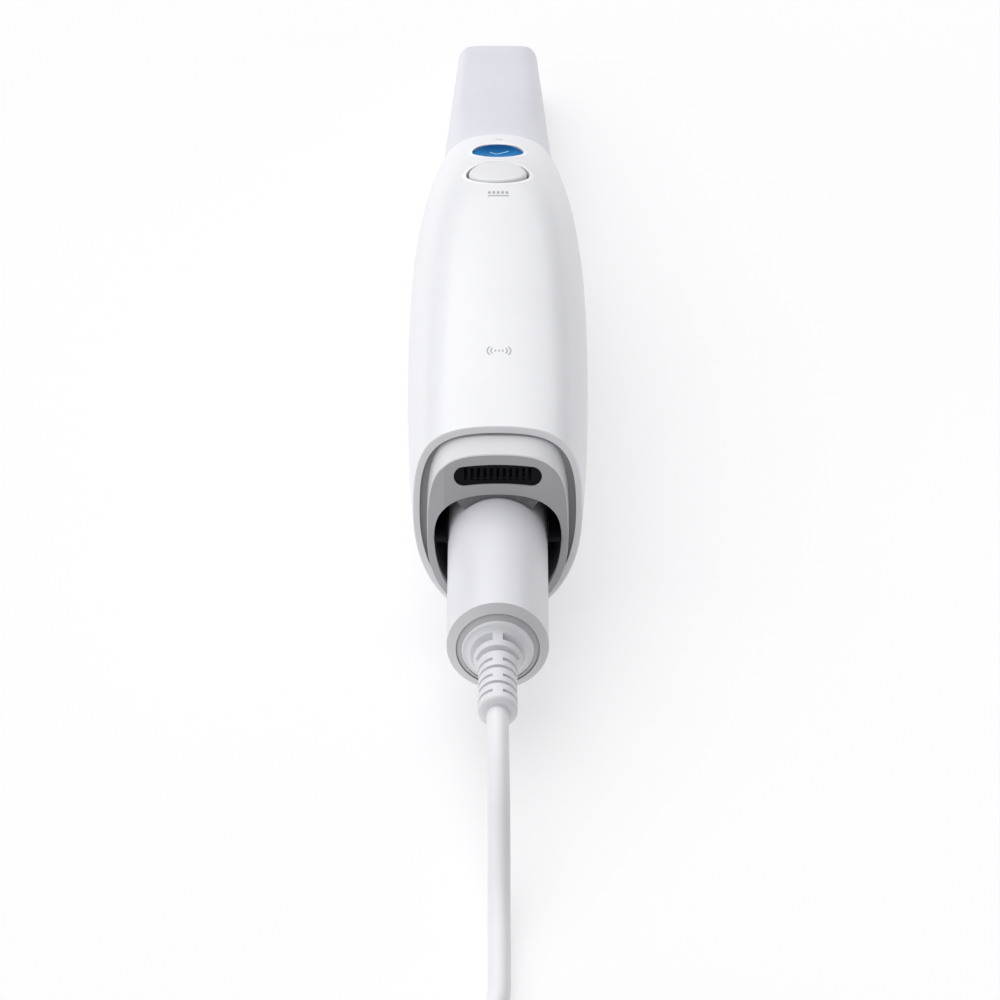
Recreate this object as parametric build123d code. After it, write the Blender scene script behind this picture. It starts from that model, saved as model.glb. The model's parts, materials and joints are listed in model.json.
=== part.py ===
from build123d import *
import math
import os

# Intraoral 3-D camera: a hand piece with a pull-off scanning tip, two push buttons, and a plug-in
# cable connector at the rear. Millimetres. +Y runs along the hand piece towards the scanning tip,
# +Z is up through the buttons, and Z = 0 is the table that the belly and the tip's head rest on.
# The origin is near the middle of the object, cable left out.

# ---- driving dimensions -------------------------------------------------------------------
TIP_END_Y = 153.6
TIP_LENGTH = 76.6           # tip outside the body
RELIEF_END_Y = -155.0       # free end of the strain relief
CONNECTOR_END_Y = -130.4    # inner rim of the connector's end cap
AXIS_Z = 19.4               # height of the connector's axis
CONNECTOR_RADIUS = 11.7
SHELL_WALL = 2.0
TIP_WALL = 1.3
CABLE_RADIUS = 2.5
SEAM = 0.12                 # gap along the shell's parting line

JOINT_Y = TIP_END_Y - TIP_LENGTH

# Where the rear end is cut: the cut leans, its top further forward than its bottom.
REAR_TOP = Vector(0, -78.5, 45.9)
REAR_LEAN = 19.6            # degrees from upright
FACE_TOP = Vector(0, -83.1, 45.9)
FACE_LEAN = 14.8
TRIM_DEPTH = 2.2
TRIM_LIP = 0.3              # shell left outside the trim ring
TRIM_WIDTH = 1.2
FACE_THICKNESS = 1.6

# Buttons: distance along the body, height of the skin there, slope of the skin, radius of the cap,
# and the gap around it.
CONTROL_Y, CONTROL_Z, CONTROL_SLOPE, CONTROL_RADIUS, CONTROL_GAP = 60.8, 38.2, 16.0, 6.5, 0.12
SCAN_Y, SCAN_Z, SCAN_SLOPE, SCAN_RADIUS, SCAN_GAP = 42.6, 42.4, 12.4, 7.35, 0.7
BUTTON_TRAVEL = 0.5

# Body sections: distance, half width, top, bottom.
BODY_SECTIONS = [
    (-106, 18.3, 44.0, 5.0),
    (-84, 19.95, 45.6, 0.9),
    (-56, 21.35, 47.0, -0.4),
    (-20, 21.95, 47.4, -0.4),
    (12, 21.6, 46.5, -0.4),
    (38, 20.2, 43.4, 0.1),
    (58, 18.05, 39.0, 1.1),
    (JOINT_Y, 14.65, 33.1, 2.8),
]
# Tip sections: distance, half width, top, bottom.
TIP_SECTIONS = [
    (JOINT_Y + 0.2, 14.5, 32.7, 3.0),
    (86, 14.05, 30.2, 2.0),
    (100, 13.3, 26.8, 0.9),
    (120, 12.4, 22.8, -0.1),
    (138, 11.5, 19.3, -0.5),
    (TIP_END_Y, 10.95, 16.3, -0.5),
]


# ---- helpers ------------------------------------------------------------------------------
def quarter(side, extreme, n):
    """Curve from the widest point to the top or bottom, close to a superellipse of power n."""
    corner = Vector(side.X, side.Y, extreme.Z)
    reach = (8 * 0.5 ** (1 / n) - 4) / 3
    return Bezier(side, side + (corner - side) * reach, extreme + (corner - extreme) * reach, extreme)


def section(y, half_width, top, bottom, widest, n_top, n_bottom):
    """Face standing across the length at y: an egg of four quarters, squarer as n grows."""
    right, left = Vector(half_width, y, widest), Vector(-half_width, y, widest)
    crown, keel = Vector(0, y, top), Vector(0, y, bottom)
    edges = [
        quarter(right, crown, n_top),
        quarter(left, crown, n_top),
        quarter(left, keel, n_bottom),
        quarter(right, keel, n_bottom),
    ]
    return Face(Wire(edges))


def body_widest(y):
    """Height of the body's widest level: it falls gently towards the tip."""
    return 25.5 - 4.5 * (y + 90) / 167


def body_squareness(y):
    """Power of the body's upper half: squarish at the rear, nearly round at the front."""
    return 3.2 - 0.9 * (y + 90) / 167


def tip_widest(y):
    return 20.0 - 12.3 * (y - JOINT_Y) / TIP_LENGTH


def body_loft(inset=0.0, front=JOINT_Y):
    """The body's outer skin, pulled in all round by inset, its front section moved to front."""
    faces = []
    for y, w, top, bottom in BODY_SECTIONS:
        n_top = body_squareness(y)
        y = front if y == JOINT_Y else y
        shape = (w - inset, top - inset, bottom + inset, body_widest(y), n_top, 2.1)
        faces.append(section(y, *shape))
    return loft(faces)


def tip_loft(inset=0.0, rear=TIP_SECTIONS[0][0]):
    """The tip's outer skin, pulled in all round by inset, its rear section moved to rear."""
    faces = []
    for y, w, top, bottom in TIP_SECTIONS:
        share = (y - JOINT_Y) / TIP_LENGTH
        n_top = 2.4 + 1.6 * min(1, 1.4 * share)
        n_bottom = 2.4 + 1.6 * min(1, 1.6 * share)
        y = rear if y == TIP_SECTIONS[0][0] else y
        faces.append(
            section(y, w - inset, top - inset, bottom + inset, tip_widest(y), n_top, n_bottom)
        )
    return loft(faces)


def straight_loft(*sections):
    """Ruled loft through sections (y, half_width, top, bottom, widest, n_top, n_bottom)."""
    return loft([section(*s) for s in sections], ruled=True)


def behind(point, lean, offset=0.0):
    """A big block on the rear side of a leaning cut, moved forward by offset along its normal."""
    frame = Plane(origin=point, x_dir=(1, 0, 0), z_dir=lean_normal(lean))
    return frame * Pos(0, 0, 60 - offset) * Box(200, 200, 120)


def lean_normal(lean):
    """Unit vector pointing out of a rear face that leans by this many degrees."""
    a = math.radians(lean)
    return Vector(0, -math.cos(a), math.sin(a))


def tube_y(radius, y0, y1, x=0.0, z=0.0):
    """Round bar along Y from y0 to y1."""
    return Pos(x, (y0 + y1) / 2, z) * Rot(90, 0, 0) * Cylinder(radius, abs(y1 - y0))


def block(x0, x1, y0, y1, z0, z1):
    return Pos((x0 + x1) / 2, (y0 + y1) / 2, (z0 + z1) / 2) * Box(x1 - x0, y1 - y0, z1 - z0)


def button_frame(y, z, slope):
    """Local frame on the skin: its Z is out of the skin, its Y runs down the slope to the tip."""
    a = math.radians(slope)
    return Plane(origin=(0, y, z), x_dir=(1, 0, 0), z_dir=(0, math.sin(a), math.cos(a)))


parts = {}


def keep(name, shape):
    parts[name] = shape


ABOVE_TABLE = block(-60, 60, -200, 200, 0, 100)

# ---- shells -------------------------------------------------------------------------------
body_outer = body_loft() & ABOVE_TABLE
body_inner = body_loft(SHELL_WALL, front=JOINT_Y - 1.8)
cavity_fit = body_loft(SHELL_WALL + 0.4, front=JOINT_Y - 2.2)

NOSE_START_Y, NOSE_END_Y = JOINT_Y - 1.8, 113.0
NOSE_WALL = 1.2
NOSE_BOTTOM = 4.7


def nose_loft(inset=0.0, start=NOSE_START_Y, end=NOSE_END_Y):
    """The nose that the tip slides over: straight tapers and a level underside."""
    sections = []
    for y in (start, end):
        share = (y - NOSE_START_Y) / (NOSE_END_Y - NOSE_START_Y)
        w, top, widest = 12.45 - 2.15 * share, 30.9 - 8.9 * share, 20.0 - 6.4 * share
        sections.append((y, w - inset, top - inset, NOSE_BOTTOM + inset, widest, 2.7, 2.4))
    return straight_loft(*sections)


def parting(side):
    """Half space above (+1) or below (-1) the parting line, which follows the widest level."""
    slope = math.degrees(math.atan2(4.5, 167))
    frame = Pos(0, 0, body_widest(0)) * Rot(-slope, 0, 0)
    return frame * Pos(0, 0, side * (60 + SEAM / 2)) * Box(120, 420, 120)


trim_zone = behind(REAR_TOP, REAR_LEAN, TRIM_DEPTH)
shell = body_outer - body_inner - behind(REAR_TOP, REAR_LEAN)
shell -= body_loft(TRIM_LIP) & trim_zone
shell -= nose_loft(-0.1, NOSE_START_Y - 3)
control_at = button_frame(CONTROL_Y, CONTROL_Z, CONTROL_SLOPE)
scan_at = button_frame(SCAN_Y, SCAN_Z, SCAN_SLOPE)
BEZEL_WIDTH = 0.9
for at, hole in ((control_at, CONTROL_RADIUS + CONTROL_GAP), (scan_at, SCAN_RADIUS + SCAN_GAP)):
    shell -= at * Cylinder(hole + BEZEL_WIDTH, 14)
STATUS_Y = 71.1
status_at = button_frame(STATUS_Y, 35.0, 18)
status_slot = status_at * Pos(0.3, 0, 0) * extrude(SlotOverall(2.1, 0.6), amount=5, both=True)
keep("status_light", status_slot & body_loft(0.05) - body_loft(SHELL_WALL + 0.6))

# ---- rear end -----------------------------------------------------------------------------
COVER_ROOT = (-66, 17.0, 43.2, 3.2, 22.4, 3.7, 2.5)
COVER_CREASE = (-79, 17.0, 43.7, 3.2, 22.4, 3.7, 2.5)
COVER_END = (-99, 16.0, 36.9, 3.9, 18.4, 3.0, 2.0)
COVER_WALL = 1.1
COVER_CLEARANCE = 0.1
FACE_LIP = 0.3              # cover's edge left over the top of the face plate


def cover_loft(inset=0.0, flank=None, under=None):
    """The rear cover's skin, pulled in by inset, or by flank at its sides and under beneath."""
    flank = inset if flank is None else flank
    under = inset if under is None else under

    def pulled(y, w, top, bottom, *rest):
        return (y, w - flank, top - inset, bottom + under, *rest)

    stations = [pulled(*s) for s in (COVER_ROOT, COVER_CREASE, COVER_END)]
    return straight_loft(*stations[:2]) + straight_loft(*stations[1:])


shell -= cover_loft(-COVER_CLEARANCE)
keep("upper_shell", (shell & parting(1)) - status_slot)
keep("lower_shell", shell & parting(-1))
trim = body_loft(TRIM_LIP) - body_loft(TRIM_LIP + TRIM_WIDTH) - cover_loft(-COVER_CLEARANCE)
keep("rear_trim_ring", trim & (trim_zone - behind(REAR_TOP, REAR_LEAN)) & ABOVE_TABLE)

GASKET_INSET = 1.2
gasket_zone = behind(REAR_TOP, REAR_LEAN, 4.4) - behind(REAR_TOP, REAR_LEAN, GASKET_INSET)
gasket = (body_loft(TRIM_LIP + TRIM_WIDTH) & gasket_zone) - cover_loft()
keep("rear_gasket", gasket & (body_inner + trim_zone))

ARCH = (14.9, 32.3, 5.4, 22.0, 2.5, 2.35)
SLOT_WIDTH, SLOT_HEIGHT, SLOT_RISE = 20.6, 4.75, 0.5
SLOT_Z = 37.1


def on_face(z, depth=0.0):
    """Frame on the rear face at height z: its Z points out, its Y up the face."""
    a = math.radians(FACE_LEAN)
    origin = Vector(0, FACE_TOP.Y - (FACE_TOP.Z - z) * math.tan(a), z)
    origin += lean_normal(FACE_LEAN) * -depth
    return Plane(origin=origin, x_dir=(1, 0, 0), z_dir=lean_normal(FACE_LEAN))


arch_hole = straight_loft((-110, *ARCH), (-60, *ARCH))


def vent_outline(inset=0.0):
    """Pill that arches along with the top of the face."""
    half = (SLOT_WIDTH - SLOT_HEIGHT) / 2
    radius = (half**2 + SLOT_RISE**2) / (2 * SLOT_RISE)
    reach = math.degrees(math.asin(half / radius))
    middle = CenterArc((0, -radius), radius, 90 - reach, 2 * reach)
    return SlotArc(middle, SLOT_HEIGHT - 2 * inset)


slot_tool = on_face(SLOT_Z) * extrude(vent_outline(), amount=4, both=True)
cover_solid = cover_loft() - behind(FACE_TOP, FACE_LEAN)
cover_inner = cover_loft(COVER_WALL)
face_zone = behind(FACE_TOP, FACE_LEAN, FACE_THICKNESS)
BEVEL_X, BEVEL_ANGLE = 12.6, 13.0
for side in (-1, 1):
    edge = on_face(25) * Pos(side * BEVEL_X, 0, 0) * Rot(0, side * BEVEL_ANGLE, 0)
    cover_solid -= edge * Pos(side * 20, 0, 20) * Box(40, 80, 40)
keep("rear_cover", cover_solid - cover_inner - (cover_loft(FACE_LIP, 0.1, -0.07) & face_zone))
face_plate = cover_solid & cover_loft(FACE_LIP + 0.02, 0.12, -0.05) & face_zone
keep("rear_face_plate", face_plate - arch_hole - slot_tool)

GRILLE_DEPTH = 0.4
grille = on_face(SLOT_Z, GRILLE_DEPTH + 0.8) * extrude(vent_outline(0.03), amount=0.8)
for i in range(11):
    grille -= on_face(SLOT_Z, 1.5) * Pos(1.5 * (i - 5), -0.1, 0) * Box(0.7, 3.0, 4)
keep("vent_grille", grille)

# Bay that the cable connector plugs into: a wide mouth, then a round socket tube.
MOUTH_END_Y = -76.0
SOCKET_END_Y = -51.0
SOCKET_RADIUS = CONNECTOR_RADIUS + 0.3
BAY_WALL = 0.8
ARCH_OUTSIDE = (ARCH[0] + BAY_WALL, ARCH[1] + BAY_WALL, ARCH[2] - BAY_WALL, *ARCH[3:])
mouth = straight_loft((-108, *ARCH), (MOUTH_END_Y - BAY_WALL, *ARCH))
bay = straight_loft((-106, *ARCH_OUTSIDE), (MOUTH_END_Y, *ARCH_OUTSIDE)) - mouth
bay -= behind(FACE_TOP, FACE_LEAN, FACE_THICKNESS)
bay &= cover_inner
bay += tube_y(SOCKET_RADIUS + BAY_WALL, MOUTH_END_Y - BAY_WALL, SOCKET_END_Y, z=AXIS_Z)
bay -= tube_y(SOCKET_RADIUS, MOUTH_END_Y - 10, SOCKET_END_Y + 1, z=AXIS_Z)
keep("connector_bay", bay)

RAIL_Z = AXIS_Z + 1.7
rails = block(-16, -12.0, -90, MOUTH_END_Y - BAY_WALL, RAIL_Z, RAIL_Z + 1.2)
rails += block(12.0, 16, -90, MOUTH_END_Y - BAY_WALL, RAIL_Z, RAIL_Z + 1.2)
keep("bay_guide_rails", rails & mouth)

CLIP_ANGLE = 41
ARCH_INSIDE = (ARCH[0] - 0.1, ARCH[1] - 0.1, ARCH[2] + 0.1, *ARCH[3:])
clip = straight_loft((-96, *ARCH_INSIDE), (MOUTH_END_Y - BAY_WALL, *ARCH_INSIDE))
clip -= behind(FACE_TOP, FACE_LEAN, 0.4)
clip -= tube_y(CONNECTOR_RADIUS + 0.3, -100, -70, z=AXIS_Z)
clip &= block(-20, 20, -100, -70, AXIS_Z, 60)
for side in (-1, 1):
    clip -= Pos(0, 0, AXIS_Z) * Rot(0, side * CLIP_ANGLE, 0) * block(
        *((0, 40) if side > 0 else (-40, 0)), -100, -60, -40, 40
    )
keep("retaining_clip", clip)

socket = tube_y(SOCKET_RADIUS + BAY_WALL, SOCKET_END_Y, SOCKET_END_Y + 2.0, z=AXIS_Z)
keep("bay_socket", socket + tube_y(5.0, SOCKET_END_Y, SOCKET_END_Y + 5.0, z=AXIS_Z))


def pin_positions(count, pitch):
    return [((i - (count - 1) / 2) * pitch, z) for z in (-1.5, 1.5) for i in range(count)]


pins = [tube_y(0.45, SOCKET_END_Y - 2.8, SOCKET_END_Y, x, AXIS_Z + z)
        for x, z in pin_positions(4, 2.2)]
keep("socket_pins", Compound(children=pins))

duct = block(-11.6, 11.6, -88, -46, 34.6, 40.1) - block(-10.8, 10.8, -89, -45, 35.3, 39.3)
duct -= behind(FACE_TOP, FACE_LEAN, FACE_THICKNESS)
keep("air_duct", duct & (cover_loft(COVER_WALL + 0.1) + block(-20, 20, -67, -40, 30, 42)))

# ---- fan ----------------------------------------------------------------------------------
FAN_Y, FAN_Z, FAN_SIZE, FAN_DEPTH = -39.0, 25.0, 25.0, 6.0
FAN_HUB, FAN_REACH = 4.6, 10.6
fan_case = block(-FAN_SIZE / 2, FAN_SIZE / 2, FAN_Y - FAN_DEPTH / 2, FAN_Y + FAN_DEPTH / 2,
                 FAN_Z - FAN_SIZE / 2, FAN_Z + FAN_SIZE / 2)
fan_case = fillet(fan_case.edges().filter_by(Axis.Y), 2.5)
fan_case -= tube_y(FAN_REACH + 0.5, FAN_Y - 4, FAN_Y + 4, z=FAN_Z)
for angle in (45, 135):
    arm = Box(1.4, 1.0, 2 * FAN_REACH + 2.4)
    fan_case += Pos(0, FAN_Y + FAN_DEPTH / 2 - 0.5, FAN_Z) * Rot(0, angle, 0) * arm
fan_case += tube_y(3.4, FAN_Y + FAN_DEPTH / 2 - 1.0, FAN_Y + FAN_DEPTH / 2, z=FAN_Z)
fan_case += tube_y(0.75, FAN_Y - 1.4, FAN_Y + FAN_DEPTH / 2 - 1.0, z=FAN_Z)
keep("fan_housing", fan_case)
rotor = tube_y(FAN_HUB, FAN_Y - FAN_DEPTH / 2 + 0.4, FAN_Y + FAN_DEPTH / 2 - 1.4, z=FAN_Z)
for i in range(7):
    blade = Pos(FAN_HUB + 2.7, 0, 0) * Rot(38, 0, 0) * Box(6.2, 0.7, 4.4)
    rotor += Pos(0, FAN_Y - 0.5, FAN_Z) * Rot(0, 360 / 7 * i, 0) * blade
rotor &= tube_y(FAN_REACH, FAN_Y - FAN_DEPTH / 2 + 0.2, FAN_Y + FAN_DEPTH / 2 - 1.3, z=FAN_Z)
rotor -= tube_y(0.8, FAN_Y - 1.6, FAN_Y + 4, z=FAN_Z)
keep("fan_rotor", rotor)

# ---- haptic motor under the haptic mark ---------------------------------------------------
HAPTIC_Y, HAPTIC_Z = -47.8, 43.2
haptic_case = Pos(0, HAPTIC_Y, HAPTIC_Z) * (Cylinder(5.0, 3.4) - Cylinder(4.6, 2.6))
haptic_case += Pos(0, HAPTIC_Y, HAPTIC_Z) * Cylinder(0.5, 3.0)
keep("haptic_motor_case", haptic_case)
weight = Cylinder(4.3, 1.8) - Cylinder(0.55, 3) - Pos(-4, 0, 0) * Box(6.4, 12, 4)
keep("haptic_weight", Pos(0, HAPTIC_Y, HAPTIC_Z) * weight)

# ---- chassis and electronics --------------------------------------------------------------
POSTS = [(x, y) for x in (-9.5, 9.5) for y in (-29.0, 10.0)]
BOARD_Z = 13.0
chassis = block(-11.5, 11.5, -44, 72, 7.0, 9.0)
chassis += block(-11.5, 11.5, 30, 33, 9.0, 12.0)
chassis += block(-9, 9, FAN_Y - FAN_DEPTH / 2, FAN_Y + FAN_DEPTH / 2, 9.0, FAN_Z - FAN_SIZE / 2)
for y in (-38, -4, 30, 62):
    chassis += block(-6, 6, y - 2, y + 2, 0, 7.0)
for x, y in POSTS:
    chassis += Pos(x, y, (9.0 + BOARD_Z) / 2) * Cylinder(2.2, BOARD_Z - 9.0)
for x, y in POSTS:
    chassis -= Pos(x, y, 10.5) * Cylinder(0.75, 5.0)
chassis -= block(-5, 5, -20, 6, 6, 10)
keep("chassis", chassis & cavity_fit)

board = block(-13, 13, -33, 14, BOARD_Z, BOARD_Z + 1.0)
for x, y in POSTS:
    board -= Pos(x, y, BOARD_Z) * Cylinder(0.8, 5)
keep("main_board", board)
screws = []
for x, y in POSTS:
    screw = Pos(x, y, BOARD_Z + 1.6) * Cylinder(1.5, 1.2)
    screw += Pos(x, y, BOARD_Z - 0.8) * Cylinder(0.7, 3.6)
    screw -= Pos(x, y, BOARD_Z + 2.2) * Box(2.0, 0.4, 0.8)
    screws.append(screw)
keep("board_screws", Compound(children=screws))
chips = [block(-6, 6, -14, -2, BOARD_Z + 1, BOARD_Z + 2.4)]
chips += [block(x - 2.2, x + 2.2, y - 1.6, y + 1.6, BOARD_Z + 1, BOARD_Z + 1.9)
          for x, y in ((-9, -18), (9, -18), (-9, 0), (9, 0), (0, 4))]
chips += [block(-4.5, 4.5, -32, -27, BOARD_Z + 1, BOARD_Z + 4.0)]
keep("board_chips", Compound(children=chips))
sink = block(-8, 8, -20, 2, BOARD_Z + 2.4, BOARD_Z + 4.0)
for i in range(7):
    x = -7.3 + i * (14.6 / 6)
    sink += block(x - 0.4, x + 0.4, -20, 2, BOARD_Z + 4.0, BOARD_Z + 11.0)
keep("heat_sink", sink)

# ---- optics -------------------------------------------------------------------------------
CAMERA_X, CAMERA_Z, CAMERA_R = 5.6, 12.4, 3.2
PROJECTOR_Z, PROJECTOR_R = 19.2, 3.7
BARREL_REAR, CAMERA_FRONT, PROJECTOR_FRONT = 46.0, 103.0, 98.0
holder = block(-12.4, 12.4, 50, 72.5, 9.0, 24.0) & cavity_fit
cameras, lenses, sensors = [], [], []
for x in (-CAMERA_X, CAMERA_X):
    holder -= tube_y(CAMERA_R + 0.02, 40, 80, x, CAMERA_Z)
    bore = tube_y(CAMERA_R - 0.6, 40, CAMERA_FRONT + 1, x, CAMERA_Z)
    cameras.append(tube_y(CAMERA_R, BARREL_REAR, CAMERA_FRONT, x, CAMERA_Z) - bore)
    lenses.append(tube_y(CAMERA_R - 0.6, CAMERA_FRONT - 2.2, CAMERA_FRONT - 0.6, x, CAMERA_Z))
    lenses.append(tube_y(CAMERA_R - 0.6, 70, 72, x, CAMERA_Z))
    sensors.append(block(x - 4.2, x + 4.2, 43.4, 44.4, 9.2, 17.0)
                   + block(x - 2.6, x + 2.6, 44.4, 45.6, 10.0, 14.8))
holder -= tube_y(PROJECTOR_R + 0.02, 40, 80, 0, PROJECTOR_Z)
keep("optics_block", holder)
keep("camera_barrels", Compound(children=cameras))
keep("camera_lenses", Compound(children=lenses))
keep("image_sensors", Compound(children=sensors))
projector = tube_y(PROJECTOR_R, BARREL_REAR, PROJECTOR_FRONT, 0, PROJECTOR_Z)
projector -= tube_y(PROJECTOR_R - 0.7, 40, PROJECTOR_FRONT + 1, 0, PROJECTOR_Z)
keep("projector_barrel", projector)
projector_lens = tube_y(PROJECTOR_R - 0.7, PROJECTOR_FRONT - 2.4, PROJECTOR_FRONT - 0.6, 0, PROJECTOR_Z)
keep("projector_lens", projector_lens)
light = block(-6, 6, 42.2, 45.8, 17.6, 28.0)
light += block(-5, 5, 36, 42.2, 18.4, 27.0)
for i in range(4):
    light -= block(-6, 6, 37 + 1.3 * i, 37.6 + 1.3 * i, 20.4, 28)
keep("projector_light_engine", light)

# ---- nose that carries the tip ------------------------------------------------------------
WINDOW_Y = NOSE_END_Y - 1.6
FLANGE_SECTION = (14.4, 31.6, 5.6, 20.6, 3.0, 2.2)
FLANGE_DEPTH = 2.0
nose = nose_loft(start=NOSE_START_Y - 0.5)
flange = straight_loft(
    (NOSE_START_Y - FLANGE_DEPTH - 0.5, *FLANGE_SECTION), (NOSE_START_Y - 0.5, *FLANGE_SECTION)
)
nose += flange & cavity_fit
nose -= nose_loft(NOSE_WALL, NOSE_START_Y - 5, NOSE_END_Y + 2)
nose -= nose_loft(NOSE_WALL - 0.5, WINDOW_Y, NOSE_END_Y + 2)
keep("nose_sleeve", nose)
keep("nose_window", nose_loft(NOSE_WALL - 0.45, WINDOW_Y + 0.05, WINDOW_Y + 1.4))
keep("nose_seal", nose_loft(-0.25, 80, 81.4) - nose_loft(0, 79, 83))

# ---- buttons ------------------------------------------------------------------------------

def bezel(at, hole, width, drop):
    """Ring around a button, flush with the skin, its inner edge sloping down to the cap."""
    ring = Cylinder(hole + BEZEL_WIDTH - 0.01, 9) - Cylinder(hole, 12)
    ring -= Pos(0, 0, drop / 2) * Cone(hole, hole + 3 * width, 3 * drop)
    return (at * ring & body_loft(0.01)) - body_loft(SHELL_WALL + 0.3)


def cap(at, radius, surface, depth):
    disc = (at * Cylinder(radius, 14)) & surface
    disc -= at * Pos(0, 0, -depth - 20) * Box(60, 60, 40)
    return disc


keep("control_bezel", bezel(control_at, CONTROL_RADIUS + CONTROL_GAP, 0.8, 0.35))
keep("scan_bezel", bezel(scan_at, SCAN_RADIUS + SCAN_GAP, 0.35, 0.35))
STEM_LENGTH = 3.0
BUTTON_DEPTH = 3.6
control_cap = cap(control_at, CONTROL_RADIUS, body_loft(0.45), BUTTON_DEPTH)
control_dish = control_at * Pos(0, 0, 28.8) * Sphere(30.0)
keep("control_button", control_cap - control_dish)
keep("scan_button", cap(scan_at, SCAN_RADIUS, body_loft(-0.4), BUTTON_DEPTH))
for name, at in (("control", control_at), ("scan", scan_at)):
    plunger = at * Pos(0, 0, -BUTTON_DEPTH - STEM_LENGTH / 2) * Cylinder(1.2, STEM_LENGTH)
    plunger += at * Pos(0, 0, -BUTTON_DEPTH - STEM_LENGTH + 0.5) * Cylinder(2.2, 1.0)
    keep(name + "_plunger", plunger)
SWITCH_GAP = BUTTON_TRAVEL + 0.15
SWITCH_HEIGHT = 2.2
BOARD_DEPTH = BUTTON_DEPTH + STEM_LENGTH + SWITCH_GAP + SWITCH_HEIGHT
switches = []
for at in (control_at, scan_at):
    base = Pos(0, 0, -BOARD_DEPTH + SWITCH_HEIGHT / 2) * Box(6.0, 6.0, SWITCH_HEIGHT)
    switches.append(at * base)
keep("tact_switches", Compound(children=switches))
middle = (control_at.origin + scan_at.origin) / 2
run = scan_at.origin - control_at.origin
board_slope = math.degrees(math.atan2(run.Z, -run.Y))
board_at = button_frame(middle.Y, middle.Z, board_slope)
button_board = board_at * Pos(0, 0, -BOARD_DEPTH - 0.9) * Box(17, 34, 1.0)
keep("button_board", button_board - Compound(children=switches))

# ---- tip ----------------------------------------------------------------------------------
WINDOW_LENGTH, WINDOW_WIDTH = 15.0, 13.0
WINDOW_FRONT = TIP_END_Y - 4.6
PLAN_CORNER, SIDE_CORNER = 4.6, 2.6
HEAD_HALF_WIDTH, HEAD_TOP = 11.0, 16.4


def tip_limits(inset=0.0):
    """Block that rounds the head: its outline from above crossed with its outline from the side."""
    end = TIP_END_Y - inset
    corner = HEAD_HALF_WIDTH - inset
    plan = Polygon((-15.4, 70), (15.4, 70), (corner, end), (-corner, end), align=None)
    plan = fillet(plan.vertices().sort_by(Axis.Y)[-2:], PLAN_CORNER - inset)
    low, high = inset, HEAD_TOP - inset
    rise = (end - 100) * 0.2
    side = Polygon((70, low), (end, low), (end, high), (100, high + rise), (70, 45), align=None)
    side = fillet(side.vertices().sort_by(Axis.X)[-2:], SIDE_CORNER - inset)
    upright = extrude(plan, amount=60, both=True)
    across = extrude(Plane.YZ * side, amount=30, both=True)
    return upright & across


tip_outer = tip_loft() & tip_limits()
tip_cavity = tip_loft(TIP_WALL, rear=JOINT_Y - 1) & tip_limits(TIP_WALL)
scan_hole = block(-WINDOW_WIDTH / 2, WINDOW_WIDTH / 2, WINDOW_FRONT - WINDOW_LENGTH, WINDOW_FRONT, -5, 4)
scan_hole = fillet(scan_hole.edges().filter_by(Axis.Z), 2.0)
keep("tip_shell", tip_outer - tip_cavity - scan_hole)
MIRROR_Y, MIRROR_Z, MIRROR_TILT = WINDOW_FRONT - 7.6, 9.2, -41.0
mirror_at = Pos(0, MIRROR_Y, MIRROR_Z) * Rot(MIRROR_TILT, 0, 0)
keep("tip_mirror", mirror_at * Box(13.4, 17.6, 0.9))
keep("mirror_heater", mirror_at * Pos(0, 0, 0.45 + 0.15) * Box(11.6, 15.0, 0.3))
rest = []
for side in (-1, 1):
    rail = mirror_at * Pos(side * 7.4, 0, 0.25) * Box(1.4, 15.0, 1.4)
    rest.append(rail & tip_cavity)
keep("mirror_rails", Compound(children=[s for r in rest for s in r.solids()]))

# ---- cable connector ----------------------------------------------------------------------
CONNECTOR_FRONT_Y = -58.0
CONNECTOR_BORE = 10.3
CAP_FRONT_Y = CONNECTOR_END_Y + 1.4
CAP_LEAN = 2.9              # degrees that the end cap leans back at its top
cap_frame = Pos(0, CAP_FRONT_Y, AXIS_Z) * Rot(-CAP_LEAN, 0, 0)
SEAT_Y = CONNECTOR_END_Y + 1.7
GROOVE_RADIUS, GROOVE_DEPTH = 9.6, 0.4
FLANGE_RADIUS = 8.3
FLANGE_Y = CONNECTOR_END_Y - 1.0    # end of the strain relief's flange
connector = tube_y(CONNECTOR_RADIUS, CAP_FRONT_Y - 2, CONNECTOR_FRONT_Y, z=AXIS_Z)
connector = chamfer(connector.edges().filter_by(GeomType.CIRCLE).sort_by(Axis.Y)[-1], 0.6)
connector -= tube_y(CONNECTOR_BORE, CAP_FRONT_Y - 3, CONNECTOR_FRONT_Y + 1, z=AXIS_Z)
connector -= cap_frame * Pos(0, -10, 0) * Box(40, 20, 40)
SEAL_Y = -62.5
seal_groove = tube_y(CONNECTOR_RADIUS + 1, SEAL_Y - 0.6, SEAL_Y + 0.6, z=AXIS_Z)
seal_groove -= tube_y(CONNECTOR_RADIUS - 0.9, SEAL_Y - 1, SEAL_Y + 1, z=AXIS_Z)
keep("connector_shell", connector - seal_groove)
seal = Pos(0, SEAL_Y, AXIS_Z) * Rot(90, 0, 0) * Torus(CONNECTOR_RADIUS - 0.36, 0.5)
keep("connector_seal", seal)


def turned(profile):
    """Solid of revolution about the connector's axis, from a face drawn in X (radius) and Y."""
    return Pos(0, 0, AXIS_Z) * revolve(profile, Axis.Y)


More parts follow.
